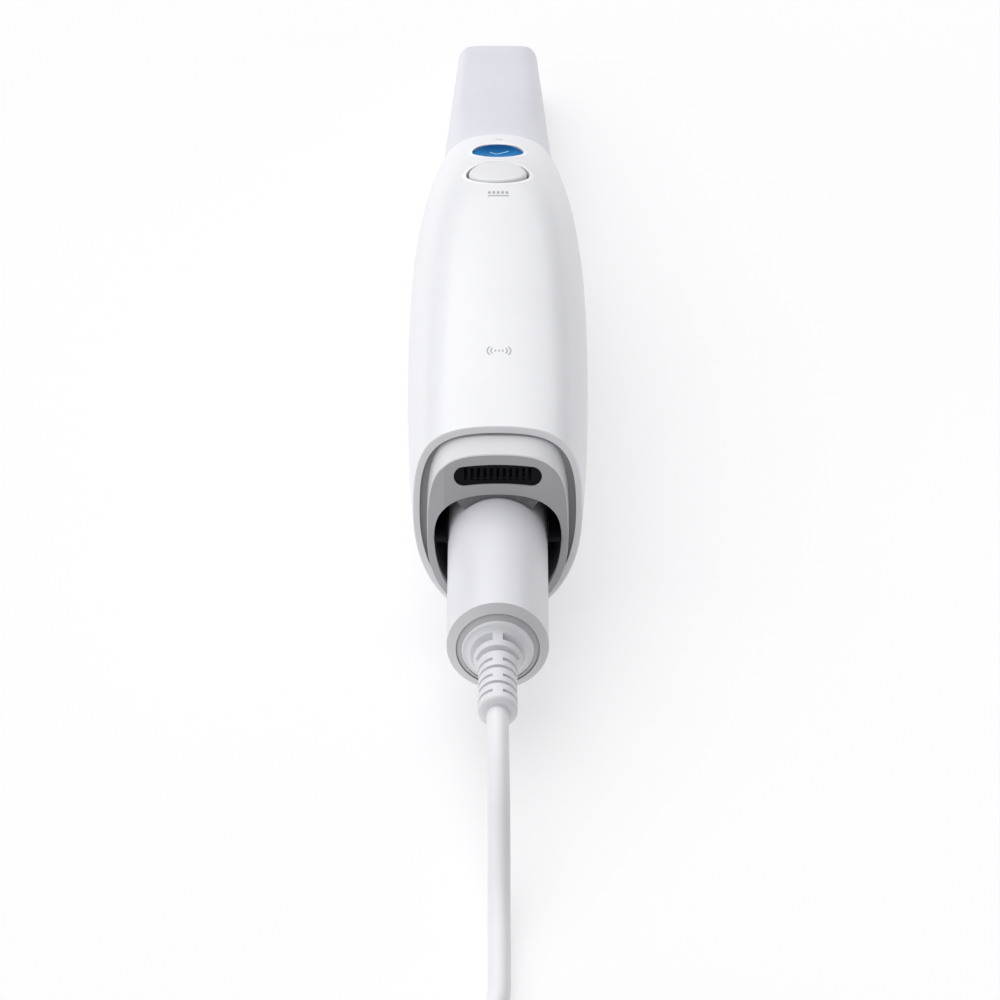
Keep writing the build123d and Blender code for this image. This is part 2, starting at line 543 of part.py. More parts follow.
# The end cap: a sloping rim, a step, and a cone that runs up to the strain relief's flange.
cap_points = [
    (3.0, 2.9),
    (3.0, -2.45),
    (7.9, -2.45),
    (GROOVE_RADIUS, GROOVE_DEPTH - 1.4),
    (GROOVE_RADIUS, -1.4),
    (CONNECTOR_RADIUS, 0),
    (CONNECTOR_BORE - 0.2, 0),
    (CONNECTOR_BORE - 0.2, 2.9),
]
end_cap = cap_frame * revolve(Polygon(*cap_points, align=None), Axis.Y)
end_cap -= tube_y(FLANGE_RADIUS + 0.02, SEAT_Y - 10, SEAT_Y, z=AXIS_Z)
end_cap -= tube_y(4.0, SEAT_Y - 1, SEAT_Y + 6, z=AXIS_Z)
keep("connector_end_cap", end_cap)
insert = tube_y(10.25, CONNECTOR_FRONT_Y - 3.0, CONNECTOR_FRONT_Y + 1.0, z=AXIS_Z)
insert += tube_y(6.4, CONNECTOR_FRONT_Y + 1.0, CONNECTOR_FRONT_Y + 3.6, z=AXIS_Z)
contacts = [tube_y(0.7, CONNECTOR_FRONT_Y + 3.0, CONNECTOR_FRONT_Y + 3.9, x, AXIS_Z + z)
            for x, z in pin_positions(4, 2.2)]
keep("connector_insert", insert - Compound(children=contacts))
keep("connector_contacts", Compound(children=contacts))
keep("connector_board", block(-8, 8, -112, CONNECTOR_FRONT_Y - 3.0, AXIS_Z - 0.5, AXIS_Z + 0.5))

# Strain relief: a flange, then a sleeve that flares at its root, slit into rings joined by bridges.
FLARE = [(7.4, 0), (6.5, 0.7), (5.85, 2.0), (5.0, 4.9), (4.5, 8.2), (4.4, 11.0)]    # radius, distance
RELIEF_TIP = 4.5
SLITS = [                   # distance of the middle, width, radius of the floor
    (1.85, 1.8, 4.2),
    (5.1, 1.6, 3.6),
    (8.5, 1.0, 3.3),
    (11.3, 1.1, 3.3),
    (14.5, 1.0, 3.3),
    (17.3, 1.1, 3.3),
    (20.4, 1.0, 3.4),
]
BRIDGE = 2.3
flare = Spline(*[(r, FLANGE_Y - d) for r, d in FLARE])
outline = [
    (RELIEF_TIP, RELIEF_END_Y), (0, RELIEF_END_Y), (0, SEAT_Y + 6), (3.95, SEAT_Y + 6), (3.95, SEAT_Y),
    (FLANGE_RADIUS, SEAT_Y), (FLANGE_RADIUS, FLANGE_Y + 0.35), (FLANGE_RADIUS - 0.35, FLANGE_Y), flare @ 0,
]
relief = turned(make_face([flare, Line(flare @ 1, outline[0]), Polyline(*outline)]))
relief = fillet(relief.edges().filter_by(GeomType.CIRCLE).sort_by(Axis.Y)[0], 1.2)
for i, (distance, width, floor) in enumerate(SLITS):
    middle = FLANGE_Y - distance
    ring = tube_y(9, middle - width / 2, middle + width / 2, z=AXIS_Z)
    ring -= tube_y(floor, middle - 2, middle + 2, z=AXIS_Z)
    bridge = Box(BRIDGE, 3, 24) if i % 2 == 0 else Box(24, 3, BRIDGE)
    relief -= ring - Pos(0, middle, AXIS_Z) * bridge
keep("strain_relief", relief)

# ---- cable --------------------------------------------------------------------------------
FLOOR_Z = CABLE_RADIUS + 0.05
COIL_CENTRE_Y = -291.5
COIL_RADIUS, COIL_WIDTH, COIL_HEIGHT = 28.0, 15.4, 17.2
RUN_POINTS = [
    (0, RELIEF_END_Y, AXIS_Z),
    (0, -165.0, AXIS_Z),
    (0.1, -178.0, 15.9),
    (0.1, -192.0, 9.0),
    (0.1, -206.0, 3.8),
    (0.1, -220.5, FLOOR_Z),
    (0.1, -236.5, FLOOR_Z),
    (-5.5, -249.5, FLOOR_Z),
    (-16.0, -260.0, FLOOR_Z),
    (-25.4, -271.0, FLOOR_Z),
]
TAIL_TURN_RADIUS, TAIL_Z = 29.0, 20.5
TAIL_POINTS = [
    (TAIL_TURN_RADIUS * math.cos(math.radians(a)),
     COIL_CENTRE_Y + TAIL_TURN_RADIUS * math.sin(math.radians(a)), z)
    for a, z in ((54, 15.6), (82, 16.8), (110, 18.6), (138, 20.0), (166, TAIL_Z))
] + [(-TAIL_TURN_RADIUS, COIL_CENTRE_Y - 4.0, TAIL_Z)]


def cable(points):
    """Round cable along straight runs that are joined by tangent arcs."""
    runs = [Vector(*b) - Vector(*a) for a, b in zip(points, points[1:])]
    radii = []
    for before, after in zip(runs, runs[1:]):
        half_turn = math.radians(before.get_angle(after)) / 2
        radii.append(0.45 * min(before.length, after.length) / math.tan(half_turn))
    print("bend radii", [round(r, 1) for r in radii])
    path = FilletPolyline(*points, radius=radii)
    profile = Plane(origin=points[0], z_dir=runs[0]) * Circle(CABLE_RADIUS)
    tube = sweep(profile, path=path)
    print("volume", tube.volume, "section x length", math.pi * CABLE_RADIUS**2 * path.length)
    return tube


bundle = Pos(COIL_RADIUS, COIL_HEIGHT / 2 + 0.05) * RectangleRounded(COIL_WIDTH, COIL_HEIGHT, 3.0)
coil = Pos(0, COIL_CENTRE_Y, 0) * revolve(Plane.XZ * bundle, Axis.Z)
strap = RectangleRounded(COIL_WIDTH + 1.2, COIL_HEIGHT + 1.0, 3.4)
strap -= Pos(0, 0.1) * RectangleRounded(COIL_WIDTH - 1.2, COIL_HEIGHT - 1.2, 2.6)
strap = Pos(-COIL_RADIUS, COIL_HEIGHT / 2 + 0.55) * strap
tie = Pos(0, COIL_CENTRE_Y, 0) * Rot(0, 0, 90) * extrude(Plane.XZ * strap, amount=4, both=True)
keep("cable_coil", coil - tie)
keep("coil_tie", tie)
keep("cable_run", cable(RUN_POINTS))
tail = cable(TAIL_POINTS)
keep("cable_tail", tail)

# USB-C plug that lies on top of the coil.
plug_x, plug_y = -TAIL_TURN_RADIUS, COIL_CENTRE_Y - 4.0
PLUG_LENGTH, PLUG_WIDTH, PLUG_HEIGHT = 16.0, 10.6, 5.8
sleeve = Pos(plug_x, plug_y - 3.5, TAIL_Z) * Rot(-90, 0, 0) * Cone(3.2, 2.8, 7.0)
keep("plug_sleeve", sleeve - tail)
plug = block(plug_x - PLUG_WIDTH / 2, plug_x + PLUG_WIDTH / 2, plug_y - 7 - PLUG_LENGTH, plug_y - 7,
             TAIL_Z - PLUG_HEIGHT / 2, TAIL_Z + PLUG_HEIGHT / 2)
plug = fillet(plug.edges().filter_by(Axis.Y), 2.4)
keep("plug_housing", plug)
plug_tip = Plane(origin=(plug_x, plug_y - 7 - PLUG_LENGTH, TAIL_Z), x_dir=(1, 0, 0), z_dir=(0, -1, 0))
plug_shell = extrude(plug_tip * SlotOverall(8.3, 2.4), amount=6.5)
plug_shell -= extrude(plug_tip * SlotOverall(7.7, 1.8), amount=6.6)
keep("plug_shell", plug_shell)
keep("plug_tongue", extrude(plug_tip * Rectangle(6.6, 0.7), amount=5.6))

if __name__ == "__main__":
    os.makedirs("parts", exist_ok=True)
    for name, shape in parts.items():
        export_step(shape, f"parts/{name}.step")
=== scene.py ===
import json
import math

import bmesh
import bpy
from mathutils import Matrix, Vector
from mathutils.bvhtree import BVHTree


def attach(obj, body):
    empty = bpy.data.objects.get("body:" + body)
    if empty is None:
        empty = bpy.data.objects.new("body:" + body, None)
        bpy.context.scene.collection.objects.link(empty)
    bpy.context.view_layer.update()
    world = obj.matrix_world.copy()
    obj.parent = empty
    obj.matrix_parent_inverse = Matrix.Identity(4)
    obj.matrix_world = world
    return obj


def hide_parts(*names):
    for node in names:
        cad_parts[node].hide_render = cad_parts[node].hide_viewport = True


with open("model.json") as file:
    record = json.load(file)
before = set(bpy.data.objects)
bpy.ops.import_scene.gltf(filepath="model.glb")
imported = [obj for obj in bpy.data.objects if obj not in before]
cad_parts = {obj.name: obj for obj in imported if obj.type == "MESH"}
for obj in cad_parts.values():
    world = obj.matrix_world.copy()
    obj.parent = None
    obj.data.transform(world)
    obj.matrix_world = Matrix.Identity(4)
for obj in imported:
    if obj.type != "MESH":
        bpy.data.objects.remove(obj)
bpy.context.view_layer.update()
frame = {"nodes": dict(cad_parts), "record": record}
nodes = frame["nodes"]
scene = bpy.context.scene
MM = 0.001

# ---- camera -------------------------------------------------------------------------------
# A long lens behind the cable end, looking down along the hand piece.
LENS, SENSOR_WIDTH = 193.5, 36                  # millimetres
LENS_SHIFT = 0.0022                             # in sensor widths
SIGHT_RANGE = 50                                # metres
CAMERA_PLACE = (0, -1.1223, 0.7409)
LOOK_DOWN = 34.44                               # degrees below the horizon

camera_data = bpy.data.cameras.new("camera")
camera_data.lens = LENS
camera_data.sensor_width = SENSOR_WIDTH
camera_data.shift_x = LENS_SHIFT
camera_data.clip_end = SIGHT_RANGE
camera = bpy.data.objects.new("camera", camera_data)
camera.location = CAMERA_PLACE
camera.rotation_euler = (math.radians(90 - LOOK_DOWN), 0, 0)
scene.collection.objects.link(camera)
scene.camera = camera


# ---- cable --------------------------------------------------------------------------------
# One curve in millimetres: it leaves the strain relief level, drops to the floor and runs
# back into a flat coil, whose last turn lies on top and ends at the plug.
CABLE_RADIUS = 2.5
FLOOR_Z = CABLE_RADIUS + 0.05                   # axis height of the cable lying on the floor
RUN_POINTS = [
    (0, -155.0, 19.4),
    (0, -165.0, 19.4),
    (0.25, -178.0, 15.9),
    (0.3, -192.0, 9.0),
    (0.3, -206.0, 3.8),
    (0.3, -220.5, FLOOR_Z),
    (0.3, -238.5, FLOOR_Z),
    (-5.5, -249.5, FLOOR_Z),
    (-16.0, -260.0, FLOOR_Z),
    (-25.4, -271.0, FLOOR_Z),
]
COIL_CENTRE_Y = -291.5
COIL_START, COIL_END = 141, 36                  # degrees, turning from the run to the tail
POINTS_PER_TURN = 20
SHIFT_START = 0.7                               # share of a turn before it eases into the next
TURNS = [                                       # radius and height of each turn, layer by layer
    (33.1, 2.55), (28.0, 2.55), (22.9, 2.55),
    (25.45, 6.85), (30.55, 6.85),
    (33.1, 11.15), (28.0, 11.15), (22.9, 11.15),
    (24.0, 15.5), (29.0, 15.5),
]
TAIL_RADIUS, TAIL_Z = 29.0, 20.5
TAIL_TURN = [(54, 15.6), (82, 16.8), (110, 18.6), (138, 20.0), (166, TAIL_Z)]    # degrees, height
TAIL_REACH = 4.0                                # straight end behind the coil's middle
BEVEL_STEPS, CURVE_STEPS = 8, 8                 # facets round the cable and between points


def smooth(x):
    """Ease from 0 to 1, flat outside that range."""
    x = min(1.0, max(0.0, x))
    return x * x * (3 - 2 * x)


def on_coil(radius, degrees, z):
    angle = math.radians(degrees)
    return radius * math.cos(angle), COIL_CENTRE_Y + radius * math.sin(angle), z


def coil_points():
    """Each turn eases into the next over its last part; onto a new layer it climbs first."""
    out = []
    whole = COIL_END - COIL_START + 360 * len(TURNS)
    count = int(whole / 360 * POINTS_PER_TURN)
    for i in range(1, count + 1):
        turn, share = divmod(i / POINTS_PER_TURN, 1)
        here, following = TURNS[int(turn)], TURNS[min(int(turn) + 1, len(TURNS) - 1)]
        shift = (share - SHIFT_START) / (1 - SHIFT_START)
        climbs = following[1] > here[1]
        across = smooth(2 * shift - 1) if climbs else smooth(shift)
        radius = here[0] + (following[0] - here[0]) * across
        z = here[1] + (following[1] - here[1]) * smooth(2 * shift)
        out.append(on_coil(radius, COIL_START + 360 * i / POINTS_PER_TURN, z))
    return out


tail = [on_coil(TAIL_RADIUS, degrees, z) for degrees, z in TAIL_TURN]
tail.append((-TAIL_RADIUS, COIL_CENTRE_Y - TAIL_REACH, TAIL_Z))
route = RUN_POINTS + coil_points() + tail
curve = bpy.data.curves.new("cable", "CURVE")
curve.dimensions = "3D"
curve.bevel_depth = 1.0                         # times each point's own radius
curve.bevel_resolution = BEVEL_STEPS
curve.use_fill_caps = True
spline = curve.splines.new("NURBS")
spline.points.add(len(route) - 1)
for point, place in zip(spline.points, route):
    point.co = (*(c * MM for c in place), 1)
    point.radius = CABLE_RADIUS * MM
spline.order_u = 3
spline.use_endpoint_u = True
spline.resolution_u = CURVE_STEPS
cable = bpy.data.objects.new("cable", curve)
scene.collection.objects.link(cable)
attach(cable, "cable_connector")
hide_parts("cable_run", "cable_coil", "cable_tail")


# ---- materials ----------------------------------------------------------------------------
MOTTLE_SCALE, GLOSS_SCALE = 38, 90              # noise cells of the mottling and of the gloss
GLOSS_SPREAD = 0.05                             # roughness above and below the middle value
GRAIN_DEPTH, LINE_DEPTH, THREAD_DEPTH = 0.0002, 0.0001, 0.0003    # metres
COAT_ROUGHNESS = 0.12


def shade(color, factor):
    return tuple(min(1.0, c * factor) for c in color)


class Nodes:
    """A material under construction: its Principled shader and short ways to add nodes."""

    def __init__(self, name, **inputs):
        self.material = bpy.data.materials.new(name)
        self.material.use_nodes = True
        self.tree = self.material.node_tree
        self.shader = self.tree.nodes["Principled BSDF"]
        for key, value in inputs.items():
            self.shader.inputs[key.replace("_", " ")].default_value = value
        self.coords = self.add("ShaderNodeTexCoord").outputs["Object"]

    def add(self, kind, **settings):
        node = self.tree.nodes.new(kind)
        for key, value in settings.items():
            setattr(node, key, value)
        return node

    def link(self, source, target):
        self.tree.links.new(source, target)

    def noise(self, scale, detail=4.0, roughness=0.55, stretch=None):
        texture = self.add("ShaderNodeTexNoise")
        texture.inputs["Scale"].default_value = scale
        texture.inputs["Detail"].default_value = detail
        texture.inputs["Roughness"].default_value = roughness
        place = self.coords
        if stretch:
            mapping = self.add("ShaderNodeMapping")
            mapping.inputs["Scale"].default_value = stretch
            self.link(place, mapping.inputs["Vector"])
            place = mapping.outputs["Vector"]
        self.link(place, texture.inputs["Vector"])
        return texture.outputs["Fac"]

    def ramp(self, factor, low, high, start=0.35, end=0.65):
        """Colour from low to high as factor goes from start to end."""
        ramp = self.add("ShaderNodeValToRGB")
        first, last = ramp.color_ramp.elements
        first.position, last.position = start, end
        first.color, last.color = (*low, 1), (*high, 1)
        self.link(factor, ramp.inputs["Fac"])
        return ramp.outputs["Color"]

    def span(self, factor, low, high):
        """Factor, which runs from 0 to 1, stretched to run from low to high."""
        span = self.add("ShaderNodeMapRange")
        span.inputs["To Min"].default_value = low
        span.inputs["To Max"].default_value = high
        self.link(factor, span.inputs["Value"])
        return span.outputs["Result"]

    def within(self, radius, axis_z):
        """1 within radius of the connector's axis, which runs along Y, and 0 outside."""
        across = self.add("ShaderNodeMapping")
        across.inputs["Location"].default_value = (0, 0, -axis_z)
        across.inputs["Scale"].default_value = (1, 0, 1)
        self.link(self.coords, across.inputs["Vector"])
        distance = self.add("ShaderNodeVectorMath", operation="LENGTH")
        self.link(across.outputs["Vector"], distance.inputs[0])
        inside = self.add("ShaderNodeMath", operation="LESS_THAN")
        inside.inputs[1].default_value = radius
        self.link(distance.outputs["Value"], inside.inputs[0])
        return inside.outputs["Value"]

    def along(self, direction, start, end):
        """0 before start and 1 past end, by distance along a direction, eased between."""
        distance = self.add("ShaderNodeVectorMath", operation="DOT_PRODUCT")
        distance.inputs[1].default_value = direction
        self.link(self.coords, distance.inputs[0])
        share = self.add("ShaderNodeMapRange", interpolation_type="SMOOTHSTEP")
        share.inputs["From Min"].default_value = start
        share.inputs["From Max"].default_value = end
        self.link(distance.outputs["Value"], share.inputs["Value"])
        return share.outputs["Result"]

    def mix(self, factor, first, second):
        """The first colour where factor is 0 and the second where it is 1."""
        mixer = self.add("ShaderNodeMix", data_type="RGBA")
        self.link(factor, mixer.inputs["Factor"])
        color_a, color_b = 6, 7                 # the sockets of a colour mix, by position
        self.link(first, mixer.inputs[color_a])
        self.link(second, mixer.inputs[color_b])
        return mixer.outputs[2]

    def mottled(self, color, spread):
        """A colour with faint mottling."""
        patches = self.noise(MOTTLE_SCALE, 5)
        return self.ramp(patches, shade(color, 1 - spread), shade(color, 1 + spread))

    def moulded(self, tint, roughness, grain, bump):
        """Finish of moulded plastic: uneven gloss and a fine spark-eroded grain."""
        self.link(tint, self.shader.inputs["Base Color"])
        gloss = self.noise(GLOSS_SCALE, 3)
        gloss = self.span(gloss, roughness - GLOSS_SPREAD, roughness + GLOSS_SPREAD)
        self.link(gloss, self.shader.inputs["Roughness"])
        self.bump(self.noise(grain, 3, 0.6), bump, GRAIN_DEPTH)
        return self.material

    def bump(self, height, strength, distance):
        bump = self.add("ShaderNodeBump")
        bump.inputs["Strength"].default_value = strength
        bump.inputs["Distance"].default_value = distance
        self.link(height, bump.inputs["Height"])
        self.link(bump.outputs["Normal"], self.shader.inputs["Normal"])


def plastic(name, color, roughness, spread=0.03, grain=900, bump=0.05, coat=0.0, specular=0.5):
    """Moulded plastic of one colour."""
    made = Nodes(name, Coat_Weight=coat, Coat_Roughness=COAT_ROUGHNESS,
                 Specular_IOR_Level=specular)
    return made.moulded(made.mottled(color, spread), roughness, grain, bump)


def dish_with_painted_shade(name, near, far, start, end):
    """Dull plastic of the blue button, deeper in colour from start to end along Y; the deeper far
    part is painted shade.
    """
    made = Nodes(name, Specular_IOR_Level=0.01)
    share = made.along((0, 1, 0), start, end)
    tint = made.mix(share, made.mottled(near, 0.012), made.mottled(far, 0.012))
    return made.moulded(tint, 0.39, 1400, 0.03)


def end_cap(name, rim, groove, groove_radius, axis_z):
    """The connector's end cap: one plastic for the rim, and a darker tone inside it that is painted
    shade in the groove.
    """
    made = Nodes(name)
    share = made.within(groove_radius, axis_z)
    tint = made.mix(share, made.mottled(rim, 0.02), made.mottled(groove, 0.02))
    return made.moulded(tint, 0.41, 900, 0.05)


def metal(name, color, roughness, brushed=None):
    """Bare or plated metal with fine lines along the direction that brushed leaves long."""
    made = Nodes(name, Metallic=1.0)
    lines = made.noise(700, 4, 0.6, brushed or (1, 1, 1))
    tint = made.ramp(lines, shade(color, 0.88), shade(color, 1.1))
    made.link(tint, made.shader.inputs["Base Color"])
    gloss = made.span(lines, roughness * 0.8, roughness * 1.3)
    made.link(gloss, made.shader.inputs["Roughness"])
    made.bump(lines, 0.06, LINE_DEPTH)
    return made.material


def glass(name, color, roughness=0.03):
    """Clear glass with a faint film on it."""
    made = Nodes(name, Transmission_Weight=1.0, IOR=1.5)
    film = made.noise(40, 2)
    made.link(made.ramp(film, shade(color, 0.97), color), made.shader.inputs["Base Color"])
    made.link(made.span(film, roughness, roughness * 2), made.shader.inputs["Roughness"])
    return made.material


def board(name):
    """Circuit board: solder mask over darker traces."""
    made = Nodes(name)
    cells = made.add("ShaderNodeTexVoronoi", feature="DISTANCE_TO_EDGE")
    cells.inputs["Scale"].default_value = 420
    made.link(made.coords, cells.inputs["Vector"])
    edge = cells.outputs["Distance"]
    traces = made.ramp(edge, (0.03, 0.22, 0.10), (0.012, 0.12, 0.05), 0.02, 0.09)
    made.link(traces, made.shader.inputs["Base Color"])
    made.link(made.span(made.noise(200), 0.3, 0.45), made.shader.inputs["Roughness"])
    made.bump(edge, 0.1, LINE_DEPTH)
    return made.material


def woven(name, color):
    """Woven strap: crossed threads."""
    made = Nodes(name, Sheen_Weight=0.4)
    threads = made.add("ShaderNodeTexWave", wave_type="BANDS", bands_direction="DIAGONAL")
    threads.inputs["Scale"].default_value = 900
    threads.inputs["Distortion"].default_value = 1.0
    made.link(made.coords, threads.inputs["Vector"])
    tint = made.ramp(threads.outputs["Fac"], shade(color, 0.6), shade(color, 1.2), 0.2, 0.8)
    made.link(tint, made.shader.inputs["Base Color"])
    made.link(made.span(made.noise(300), 0.75, 0.9), made.shader.inputs["Roughness"])
    made.bump(threads.outputs["Fac"], 0.5, THREAD_DEPTH)
    return made.material


# One material for each slot. A plastic's row gives its colour, roughness and mottling, then the
# scale and strength of its grain.
materials = {
    "shell_white": plastic("shell_white", (0.83, 0.83, 0.865), 0.36, 0.012, 1400, 0.03, coat=0.15),
    "tip_white": plastic("tip_white", (0.725, 0.73, 0.785), 0.33, 0.012, 1600, 0.02, coat=0.1),
    "trim_grey": plastic("trim_grey", (0.76, 0.755, 0.78), 0.38, 0.02),
    "gasket_grey": plastic("gasket_grey", (0.28, 0.28, 0.295), 0.55, 0.06),
    "cover_white": plastic("cover_white", (0.80, 0.80, 0.83), 0.38, 0.012, 1400, 0.03, coat=0.1),
    "face_grey": plastic("face_grey", (0.41, 0.405, 0.43), 0.42, 0.02),
    "black_plastic": plastic("black_plastic", (0.005, 0.005, 0.008), 0.6, 0.15, specular=0.12),
    "button_white": plastic("button_white", (0.80, 0.80, 0.83), 0.34, 0.012, 1400, 0.03, coat=0.15),
    # The blue button's colour darkens toward its far edge: painted shade.
    "button_blue": dish_with_painted_shade("button_blue", (0.012, 0.19, 0.46), (0.001, 0.07, 0.24), 0.0575, 0.0665),
    "light_clear": plastic("light_clear", (0.42, 0.44, 0.47), 0.25, 0.03, coat=0.5),
    "inner_grey": plastic("inner_grey", (0.10, 0.10, 0.11), 0.5, 0.08),
    "chip_black": plastic("chip_black", (0.02, 0.02, 0.02), 0.45, 0.1),
    "nose_white": plastic("nose_white", (0.5, 0.5, 0.53), 0.45, 0.03),
    "seal_rubber": plastic("seal_rubber", (0.02, 0.02, 0.02), 0.65, 0.1),
    "heater": plastic("heater", (0.45, 0.22, 0.05), 0.3, 0.08),
    "sensor": plastic("sensor", (0.03, 0.07, 0.08), 0.2, 0.2, coat=0.6),
    "relief_white": plastic("relief_white", (0.75, 0.75, 0.78), 0.46, 0.015, 1500, 0.05),
    "cable_white": plastic("cable_white", (0.82, 0.815, 0.845), 0.42, 0.02, 1100, 0.06),
    "clip_metal": metal("clip_metal", (0.17, 0.17, 0.18), 0.35),
    "contact_gold": metal("contact_gold", (0.83, 0.58, 0.22), 0.25),
    "steel": metal("steel", (0.6, 0.6, 0.61), 0.3),
    "sink_alu": metal("sink_alu", (0.72, 0.72, 0.73), 0.4, (1, 0.05, 1)),
    "optics_alu": metal("optics_alu", (0.05, 0.05, 0.055), 0.4),
    "plug_metal": metal("plug_metal", (0.66, 0.66, 0.67), 0.22, (1, 0.05, 1)),
    "mirror": metal("mirror", (0.9, 0.9, 0.92), 0.02),
    "lens_glass": glass("lens_glass", (0.9, 0.95, 1.0)),
    "board_green": board("board_green"),
    "tie_grey": woven("tie_grey", (0.30, 0.31, 0.33)),
}
# Nodes that look different from the rest of their slot.
CONNECTOR_AXIS_Z, GROOVE_RADIUS = 0.0194, 0.00958
# The bezels are whiter than the shell: a painted highlight round the buttons' rims.
bezel_painted_highlight = plastic("bezel_painted_highlight", (0.93, 0.93, 0.95), 0.4, 0.01, 1400, 0.03)
special = {
    "scan_bezel": bezel_painted_highlight,
    "control_bezel": bezel_painted_highlight,
    "connector_bay": plastic("bay_black", (0.08, 0.078, 0.095), 0.5, 0.1, specular=0.4),
    "connector_shell": plastic("connector_white", (0.74, 0.74, 0.775), 0.36, 0.012, 1400, 0.03),
    # The darker groove inside the end cap's rim is painted shade.
    "connector_end_cap": end_cap("cap_grey_painted_groove_shade", (0.62, 0.615, 0.635), (0.46, 0.455, 0.475),
                                 GROOVE_RADIUS, CONNECTOR_AXIS_Z),
}
slot_of = {row["node"]: row["material_slot"] for row in frame["record"]["subparts"]}
for name, thing in nodes.items():
    thing.data.materials.clear()
    thing.data.materials.append(special.get(name) or materials[slot_of[name]])
curve.materials.append(materials["cable_white"])


# ---- small helpers ------------------------------------------------------------------------
ROUND_STEPS = (25, 55, 80)                      # degrees round the end of a pen stroke
LINE_STEP = 0.4                                 # millimetres between the points of a stroke
ARC_POINTS = 12
INK_THICKNESS = 0.03 * MM
INK_SINK = 0.05 * MM                            # how far ink reaches into the surface
MARK_START = 0.02                               # metres above the plane, where the rays begin


def piece(name, mesh, material, body):
    """A new object that rides on a body."""
    thing = bpy.data.objects.new(name, mesh)
    scene.collection.objects.link(thing)
    mesh.materials.append(material)
    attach(thing, body)
    return thing


def stroke(points, width):
    """Left and right edges of a pen stroke with rounded ends, as rows of (x, y) pairs."""
    path = [Vector(p) for p in points]
    half = width / 2
    rows = []

    def rounded(here, ahead, side, degrees):
        on = ahead * half * math.sin(math.radians(degrees))
        across = side * math.cos(math.radians(degrees))
        rows.append((here + on + across, here + on - across))

    for i, here in enumerate(path):
        ahead = path[min(i + 1, len(path) - 1)] - path[max(i - 1, 0)]
        ahead.normalize()
        side = Vector((-ahead.y, ahead.x)) * half
        if i == 0:
            for degrees in reversed(ROUND_STEPS):
                rounded(here, -ahead, side, degrees)
        rows.append((here + side, here - side))
        if i == len(path) - 1:
            for degrees in ROUND_STEPS:
                rounded(here, ahead, side, degrees)
    return rows


def printed(name, strokes, target, plane, material, body, sink=INK_SINK):
    """Ink on a surface: strokes drawn in a plane, dropped along its normal onto the target."""
    tree = BVHTree.FromObject(target, bpy.context.evaluated_depsgraph_get())
    down = -(plane.to_3x3() @ Vector((0, 0, 1)))
    mesh = bmesh.new()
    for rows in strokes:
        upper, lower = [], []
        for pair in rows:
            for flat in pair:
                start = plane @ Vector((flat.x * MM, flat.y * MM, MARK_START))
                hit = tree.ray_cast(start, down)[0]
                upper.append(mesh.verts.new(hit - down * INK_THICKNESS))
                lower.append(mesh.verts.new(hit + down * sink))
        count = len(rows)
        for i in range(count - 1):
            a, b, c, d = 2 * i, 2 * i + 1, 2 * i + 3, 2 * i + 2
            mesh.faces.new([upper[k] for k in (a, b, c, d)])
            mesh.faces.new([lower[k] for k in (d, c, b, a)])
            mesh.faces.new([upper[a], upper[d], lower[d], lower[a]])
            mesh.faces.new([upper[c], upper[b], lower[b], lower[c]])
        last = 2 * (count - 1)
        mesh.faces.new([upper[1], upper[0], lower[0], lower[1]])
        mesh.faces.new([upper[last], upper[last + 1], lower[last + 1], lower[last]])
    bmesh.ops.recalc_face_normals(mesh, faces=mesh.faces)
    data = bpy.data.meshes.new(name)
    mesh.to_mesh(data)
    mesh.free()
    piece(name, data, material, body)


def line(a, b, step=LINE_STEP):
    a, b = Vector(a), Vector(b)
    count = max(2, int((b - a).length / step) + 1)
    return [a.lerp(b, i / (count - 1)) for i in range(count)]


def arc(centre, radius, start, end):
    out = []
    for i in range(ARC_POINTS):
        a = math.radians(start + (end - start) * i / (ARC_POINTS - 1))
        out.append(Vector((centre[0] + radius * math.cos(a), centre[1] + radius * math.sin(a))))
    return out


# ---- printed marks ------------------------------------------------------------------------
ink_grey = plastic("ink_grey", (0.40, 0.40, 0.42), 0.5, 0.05)
ink_blue = plastic("ink_blue", (0.36, 0.68, 0.92), 0.45, 0.04)
SHELL_PLANE_Z = 0.04                            # metres; the shell's marks drop from this level
DOT_STEP = 0.2                                  # millimetres between the points of a short stroke


def leaning(place, degrees):
    """Frame at a place in millimetres whose far side is tipped down by some degrees."""
    x, y, z = place
    there = Matrix.Translation((x * MM, y * MM, z * MM))
    return there @ Matrix.Rotation(math.radians(-degrees), 4, "X")


def print_on_shell(name, strokes, x, y):
    plane = Matrix.Translation((x * MM, y * MM, SHELL_PLANE_Z))
    printed(name, strokes, nodes["upper_shell"], plane, ink_grey, "handpiece")


# Mark behind the scan button: five dots over a bar.
DOT_XS, DOT_NEAR, DOT_FAR, DOT_WIDTH = [-2.2 + 1.1 * i for i in range(5)], 0.6, 1.5, 0.7
BAR_HALF, BAR_Y, BAR_WIDTH = 2.35, -0.9, 0.6
dots = [stroke(line((x, DOT_NEAR), (x, DOT_FAR), DOT_STEP), DOT_WIDTH) for x in DOT_XS]
bar = [stroke(line((-BAR_HALF, BAR_Y), (BAR_HALF, BAR_Y)), BAR_WIDTH)]
print_on_shell("mark_dots", dots + bar, 0.1, 27.6)

# Vibration mark: three dots between two pairs of brackets.
PULSE_XS, PULSE_HALF, PULSE_WIDTH = (-0.9, 0.0, 0.9), 0.2, 0.4
BRACKETS = ((2.0, 33), (2.85, 36))              # radius and half angle
BRACKET_SHIFT, BRACKET_WIDTH = 0.05, 0.32
pulses = [stroke(line((x, -PULSE_HALF), (x, PULSE_HALF), DOT_STEP), PULSE_WIDTH)
          for x in PULSE_XS]
for radius, reach in BRACKETS:
    left = arc((BRACKET_SHIFT, 0), radius, 180 - reach, 180 + reach)
    right = arc((-BRACKET_SHIFT, 0), radius, reach, -reach)
    pulses.append(stroke(left, BRACKET_WIDTH))
    pulses.append(stroke(right, BRACKET_WIDTH))
print_on_shell("mark_vibration", pulses, 0.3, -47.8)

